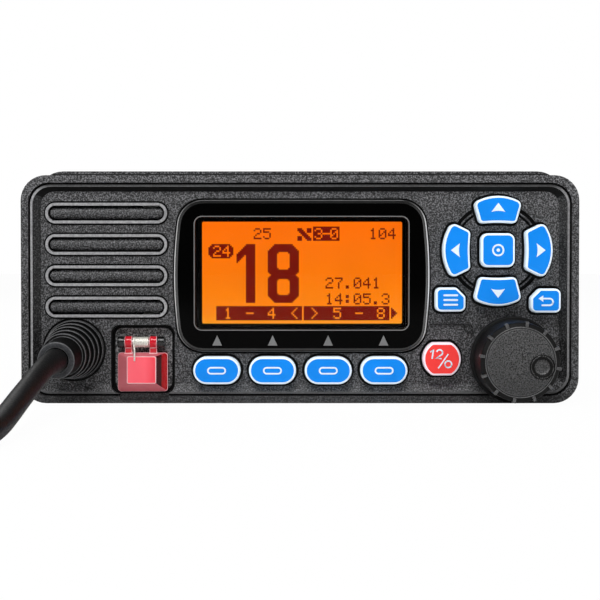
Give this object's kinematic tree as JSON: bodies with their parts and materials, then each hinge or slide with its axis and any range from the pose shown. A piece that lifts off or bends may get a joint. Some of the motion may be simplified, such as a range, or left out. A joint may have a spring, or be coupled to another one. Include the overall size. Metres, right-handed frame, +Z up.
{
  "type": "vhf marine radio",
  "caption": "Fixed-mount marine VHF radio with lit display, keypad, distress key cover, volume knob, rear antenna socket and a corded fist microphone.",
  "frame": {"origin": "middle of the flat underside, halfway between the front rail and the fin tips", "axes": "+Z up, the front faces -Y, +X to the right as seen from the front, the antenna socket points along +Y"},
  "size_m": [0.274, 0.2582, 0.067],
  "materials": {
    "panel_plastic": "fine textured charcoal moulding",
    "speaker_black": "black cloth and pulp",
    "steel": "bright plated steel",
    "window_gloss": "glossy black with a clear middle",
    "gasket_rubber": "soft black rubber",
    "display_glow": "orange backlit display",
    "frame_black": "black frame with a white light guide",
    "key_blue": "blue capped silicone with a pale border",
    "key_red": "red capped silicone with a pale border",
    "mat_silicone": "pale silicone",
    "board_green": "green solder mask",
    "cover_red": "clear red, polished",
    "knob_plastic": "soft-touch charcoal",
    "plunger_plastic": "white moulding",
    "cord_rubber": "smooth black jacket",
    "cast_black": "black powder-coated casting",
    "lid_black": "black painted sheet",
    "screw_black": "black oxide",
    "ribbon_plastic": "flat flexible cable",
    "socket_chrome": "nickel plated",
    "insulator_white": "white insulator with a gilt contact",
    "mic_plastic": "fine textured charcoal moulding",
    "mic_key_rubber": "soft black rubber"
  },
  "bodies": {
    "radio": {"front_panel": "panel_plastic", "speaker_mesh": "speaker_black", "speaker_foam": "speaker_black", "speaker_frame": "steel", "speaker_cone": "speaker_black", "speaker_magnet": "steel", "display_window": "window_gloss", "window_gasket": "gasket_rubber", "lcd_glass": "display_glow", "backlight_frame": "frame_black", "keypad_mat": "mat_silicone", "front_board": "board_green", "cover_pin": "steel", "encoder_body": "steel", "cord_boot": "cord_rubber", "mic_cord": "cord_rubber", "mic_cord_curl": "cord_rubber", "mic_cord_tail": "cord_rubber", "front_gasket": "gasket_rubber", "chassis": "cast_black", "chassis_lid": "lid_black", "lid_screws": "screw_black", "panel_screws": "steel", "main_board": "board_green", "board_screws": "steel", "rf_module": "steel", "shield_can": "steel", "ribbon_cable": "ribbon_plastic", "antenna_socket": "socket_chrome", "antenna_insulator": "insulator_white", "socket_screws": "socket_chrome", "power_grommet": "gasket_rubber", "data_grommet": "gasket_rubber", "mic_front_shell": "mic_plastic", "mic_back_shell": "mic_plastic", "mic_boot": "cord_rubber", "mic_hang_stud": "steel", "mic_screws": "steel", "mic_capsule": "steel"},
    "soft_key_1": {"soft_key_1": "key_blue"},
    "soft_key_2": {"soft_key_2": "key_blue"},
    "soft_key_3": {"soft_key_3": "key_blue"},
    "soft_key_4": {"soft_key_4": "key_blue"},
    "key_up": {"key_up": "key_blue"},
    "key_down": {"key_down": "key_blue"},
    "key_left": {"key_left": "key_blue"},
    "key_right": {"key_right": "key_blue"},
    "key_ok": {"key_ok": "key_blue"},
    "key_menu": {"key_menu": "key_blue"},
    "key_back": {"key_back": "key_blue"},
    "key_channel": {"key_channel": "key_red"},
    "distress_cover": {"distress_cover": "cover_red", "cover_spring": "steel"},
    "distress_key": {"distress_key": "key_red"},
    "push_plunger": {"push_plunger": "plunger_plastic"},
    "volume_knob": {"volume_knob": "knob_plastic", "knob_shaft": "steel"},
    "ptt_key": {"ptt_key": "mic_key_rubber"},
    "mic_key_up": {"mic_key_up": "mic_key_rubber"},
    "mic_key_down": {"mic_key_down": "mic_key_rubber"}
  },
  "joints": [
    {"name": "soft_key_1_press", "type": "slide", "parent": "radio", "child": "soft_key_1", "axis": [0, 1, 0], "range_m": [0, 0.0008], "stiffness_N_per_m": 600},
    {"name": "soft_key_2_press", "type": "slide", "parent": "radio", "child": "soft_key_2", "axis": [0, 1, 0], "range_m": [0, 0.0008], "stiffness_N_per_m": 600},
    {"name": "soft_key_3_press", "type": "slide", "parent": "radio", "child": "soft_key_3", "axis": [0, 1, 0], "range_m": [0, 0.0008], "stiffness_N_per_m": 600},
    {"name": "soft_key_4_press", "type": "slide", "parent": "radio", "child": "soft_key_4", "axis": [0, 1, 0], "range_m": [0, 0.0008], "stiffness_N_per_m": 600},
    {"name": "key_up_press", "type": "slide", "parent": "radio", "child": "key_up", "axis": [0, 1, 0], "range_m": [0, 0.0008], "stiffness_N_per_m": 600},
    {"name": "key_down_press", "type": "slide", "parent": "radio", "child": "key_down", "axis": [0, 1, 0], "range_m": [0, 0.0008], "stiffness_N_per_m": 600},
    {"name": "key_left_press", "type": "slide", "parent": "radio", "child": "key_left", "axis": [0, 1, 0], "range_m": [0, 0.0008], "stiffness_N_per_m": 600},
    {"name": "key_right_press", "type": "slide", "parent": "radio", "child": "key_right", "axis": [0, 1, 0], "range_m": [0, 0.0008], "stiffness_N_per_m": 600},
    {"name": "key_ok_press", "type": "slide", "parent": "radio", "child": "key_ok", "axis": [0, 1, 0], "range_m": [0, 0.0008], "stiffness_N_per_m": 600},
    {"name": "key_menu_press", "type": "slide", "parent": "radio", "child": "key_menu", "axis": [0, 1, 0], "range_m": [0, 0.0008], "stiffness_N_per_m": 600},
    {"name": "key_back_press", "type": "slide", "parent": "radio", "child": "key_back", "axis": [0, 1, 0], "range_m": [0, 0.0008], "stiffness_N_per_m": 600},
    {"name": "key_channel_press", "type": "slide", "parent": "radio", "child": "key_channel", "axis": [0, 1, 0], "range_m": [0, 0.0008], "stiffness_N_per_m": 600},
    {"name": "distress_cover_hinge", "type": "hinge", "parent": "radio", "child": "distress_cover", "pos_m": [-0.04575, -0.0611, 0.0175], "axis": [-1, 0, 0], "range_deg": [0, 110], "stiffness_Nm_per_rad": 0.01, "springref_deg": -22.92},
    {"name": "distress_key_press", "type": "slide", "parent": "radio", "child": "distress_key", "axis": [0, 1, 0], "range_m": [0, 0.0004], "stiffness_N_per_m": 800},
    {"name": "knob_push", "type": "slide", "parent": "radio", "child": "push_plunger", "axis": [0, 1, 0], "range_m": [0, 0.0005], "stiffness_N_per_m": 1500},
    {"name": "knob_turn", "type": "hinge", "parent": "push_plunger", "child": "volume_knob", "pos_m": [0.0609, -0.07, 0.0128], "axis": [0, 1, 0], "continuous": true},
    {"name": "ptt_press", "type": "slide", "parent": "radio", "child": "ptt_key", "axis": [-1, 0, 0], "range_m": [0, 0.0012], "stiffness_N_per_m": 900},
    {"name": "mic_key_up_press", "type": "slide", "parent": "radio", "child": "mic_key_up", "axis": [0, 0, -1], "range_m": [0, 0.0006], "stiffness_N_per_m": 600},
    {"name": "mic_key_down_press", "type": "slide", "parent": "radio", "child": "mic_key_down", "axis": [0, 0, -1], "range_m": [0, 0.0006], "stiffness_N_per_m": 600}
  ]
}
